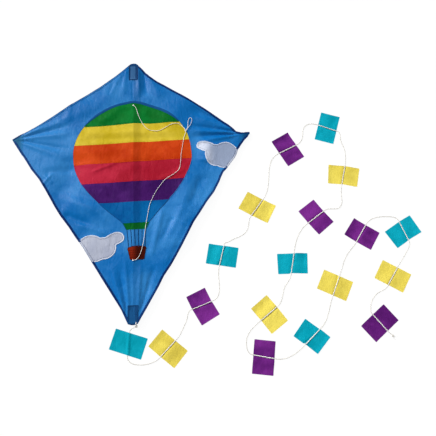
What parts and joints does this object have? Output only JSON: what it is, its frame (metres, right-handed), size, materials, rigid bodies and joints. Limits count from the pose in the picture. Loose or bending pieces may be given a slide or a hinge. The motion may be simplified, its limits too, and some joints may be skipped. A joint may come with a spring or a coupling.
{
  "type": "diamond kite",
  "caption": "Flat two-rod diamond kite with a hot-air-balloon appliqué sail, a bridle with a tow loop, and a line tail carrying cloth flags.",
  "frame": {"origin": "the floor under the middle of the kite's height and width, the kite lying face up and leaving out the bridle and tail", "axes": "+Y from the tail end to the nose, +Z out of the sail's face, X across the wings"},
  "size_m": [1.0653, 0.8519, 0.0155],
  "materials": {
    "sail_blue": "thin woven nylon, slight sheen",
    "hem_navy": "folded woven nylon",
    "pocket_navy": "reinforced woven nylon",
    "cloud_white": "thin woven nylon with satin-stitched edge",
    "band_green": "thin woven nylon, slight sheen",
    "band_yellow": "thin woven nylon, slight sheen",
    "band_orange": "thin woven nylon, slight sheen",
    "band_red": "thin woven nylon, slight sheen",
    "band_purple": "thin woven nylon, slight sheen",
    "band_blue": "thin woven nylon, slight sheen",
    "basket_red": "thin woven nylon",
    "rope_dark": "flat stitched thread",
    "rod_fibre": "satin pultruded glass fibre",
    "joint_vinyl": "moulded soft vinyl",
    "cap_black": "dipped soft vinyl",
    "cord_white": "braided cord",
    "flag_teal": "thin crinkled fabric",
    "flag_yellow": "thin crinkled fabric",
    "flag_purple": "thin crinkled fabric"
  },
  "bodies": {
    "kite": {"sail": "sail_blue", "hem_upper_left": "hem_navy", "hem_upper_right": "hem_navy", "hem_lower_left": "hem_navy", "hem_lower_right": "hem_navy", "nose_pocket": "pocket_navy", "tail_pocket": "pocket_navy", "tip_pocket_left": "pocket_navy", "tip_pocket_right": "pocket_navy", "balloon_crown": "band_green", "balloon_band_yellow": "band_yellow", "balloon_band_orange": "band_orange", "balloon_band_red": "band_red", "balloon_band_purple": "band_purple", "balloon_skirt": "band_blue", "balloon_mouth": "band_green", "balloon_ropes": "rope_dark", "basket": "basket_red", "cloud_left": "cloud_white", "cloud_right": "cloud_white", "spine": "rod_fibre", "spreader": "rod_fibre", "cross_joint": "joint_vinyl", "spine_cap_nose": "cap_black", "spine_cap_tail": "cap_black", "spreader_cap_left": "cap_black", "spreader_cap_right": "cap_black", "bridle_tie_upper": "cord_white", "bridle_tie_lower": "cord_white", "tail_tie": "cord_white"},
    "bridle": {"bridle_line": "cord_white", "tow_knot": "cord_white", "tow_loop": "cord_white"},
    "tail": {"tail_knot": "cord_white", "tail_line": "cord_white", "tail_end_knot": "cord_white"},
    "flag_01": {"flag_01_teal": "flag_teal"},
    "flag_02": {"flag_02_yellow": "flag_yellow"},
    "flag_03": {"flag_03_purple": "flag_purple"},
    "flag_04": {"flag_04_teal": "flag_teal"},
    "flag_05": {"flag_05_yellow": "flag_yellow"},
    "flag_06": {"flag_06_purple": "flag_purple"},
    "flag_07": {"flag_07_teal": "flag_teal"},
    "flag_08": {"flag_08_yellow": "flag_yellow"},
    "flag_09": {"flag_09_purple": "flag_purple"},
    "flag_10": {"flag_10_teal": "flag_teal"},
    "flag_11": {"flag_11_yellow": "flag_yellow"},
    "flag_12": {"flag_12_purple": "flag_purple"},
    "flag_13": {"flag_13_teal": "flag_teal"},
    "flag_14": {"flag_14_yellow": "flag_yellow"},
    "flag_15": {"flag_15_purple": "flag_purple"},
    "flag_16": {"flag_16_teal": "flag_teal"},
    "flag_17": {"flag_17_yellow": "flag_yellow"},
    "flag_18": {"flag_18_purple": "flag_purple"}
  },
  "joints": [
    {"name": "bridle_swing", "type": "hinge", "parent": "kite", "child": "bridle", "pos_m": [0, 0.018, 0.0136], "axis": [0, -1, 0], "range_deg": [0, 180]},
    {"name": "tail_swing", "type": "hinge", "parent": "kite", "child": "tail", "pos_m": [0.008, -0.3565, 0.006], "axis": [0, 0, 1], "range_deg": [-20, 4]},
    {"name": "flag_01_flap", "type": "hinge", "parent": "tail", "child": "flag_01", "pos_m": [-0.012, -0.404, 0.0018], "axis": [-0.0872, -0.9962, 0], "range_deg": [-40, 40]},
    {"name": "flag_02_flap", "type": "hinge", "parent": "tail", "child": "flag_02", "pos_m": [0.084, -0.419, 0.00165], "axis": [0.7071, 0.7071, 0], "range_deg": [-40, 40]},
    {"name": "flag_03_flap", "type": "hinge", "parent": "tail", "child": "flag_03", "pos_m": [0.17, -0.318, 0.00165], "axis": [0.9397, 0.342, 0], "range_deg": [-40, 40]},
    {"name": "flag_04_flap", "type": "hinge", "parent": "tail", "child": "flag_04", "pos_m": [0.224, -0.195, 0.00165], "axis": [0.2588, 0.9659, 0], "range_deg": [-40, 40]},
    {"name": "flag_05_flap", "type": "hinge", "parent": "tail", "child": "flag_05", "pos_m": [0.322, -0.072, 0.00165], "axis": [0.6157, 0.788, 0], "range_deg": [-40, 40]},
    {"name": "flag_06_flap", "type": "hinge", "parent": "tail", "child": "flag_06", "pos_m": [0.414, 0.087, 0.00165], "axis": [0.9063, 0.4226, 0], "range_deg": [-40, 40]},
    {"name": "flag_07_flap", "type": "hinge", "parent": "tail", "child": "flag_07", "pos_m": [0.526, 0.144, 0.00165], "axis": [0.9272, -0.3746, 0], "range_deg": [-40, 40]},
    {"name": "flag_08_flap", "type": "hinge", "parent": "tail", "child": "flag_08", "pos_m": [0.556, 0.008, 0.00165], "axis": [-0.2588, -0.9659, 0], "range_deg": [-40, 40]},
    {"name": "flag_09_flap", "type": "hinge", "parent": "tail", "child": "flag_09", "pos_m": [0.473, -0.104, 0.00165], "axis": [-0.8192, -0.5736, 0], "range_deg": [-40, 40]},
    {"name": "flag_10_flap", "type": "hinge", "parent": "tail", "child": "flag_10", "pos_m": [0.403, -0.222, 0.00165], "axis": [-0.2079, -0.9781, 0], "range_deg": [-40, 40]},
    {"name": "flag_11_flap", "type": "hinge", "parent": "tail", "child": "flag_11", "pos_m": [0.335, -0.345, 0.00165], "axis": [-0.7986, -0.6018, 0], "range_deg": [-40, 40]},
    {"name": "flag_12_flap", "type": "hinge", "parent": "tail", "child": "flag_12", "pos_m": [0.316, -0.447, 0.00165], "axis": [0.9781, -0.2079, 0], "range_deg": [-40, 40]},
    {"name": "flag_13_flap", "type": "hinge", "parent": "tail", "child": "flag_13", "pos_m": [0.438, -0.405, 0.00165], "axis": [0.7431, 0.6691, 0], "range_deg": [-40, 40]},
    {"name": "flag_14_flap", "type": "hinge", "parent": "tail", "child": "flag_14", "pos_m": [0.508, -0.283, 0.00165], "axis": [0.4067, 0.9135, 0], "range_deg": [-40, 40]},
    {"name": "flag_15_flap", "type": "hinge", "parent": "tail", "child": "flag_15", "pos_m": [0.585, -0.152, 0.00165], "axis": [0.5592, 0.829, 0], "range_deg": [-40, 40]},
    {"name": "flag_16_flap", "type": "hinge", "parent": "tail", "child": "flag_16", "pos_m": [0.696, -0.15, 0.00165], "axis": [0.342, -0.9397, 0], "range_deg": [-40, 40]},
    {"name": "flag_17_flap", "type": "hinge", "parent": "tail", "child": "flag_17", "pos_m": [0.653, -0.265, 0.00165], "axis": [-0.5592, -0.829, 0], "range_deg": [-40, 40]},
    {"name": "flag_18_flap", "type": "hinge", "parent": "tail", "child": "flag_18", "pos_m": [0.607, -0.378, 0.00165], "axis": [0.6157, -0.788, 0], "range_deg": [-40, 40]}
  ]
}
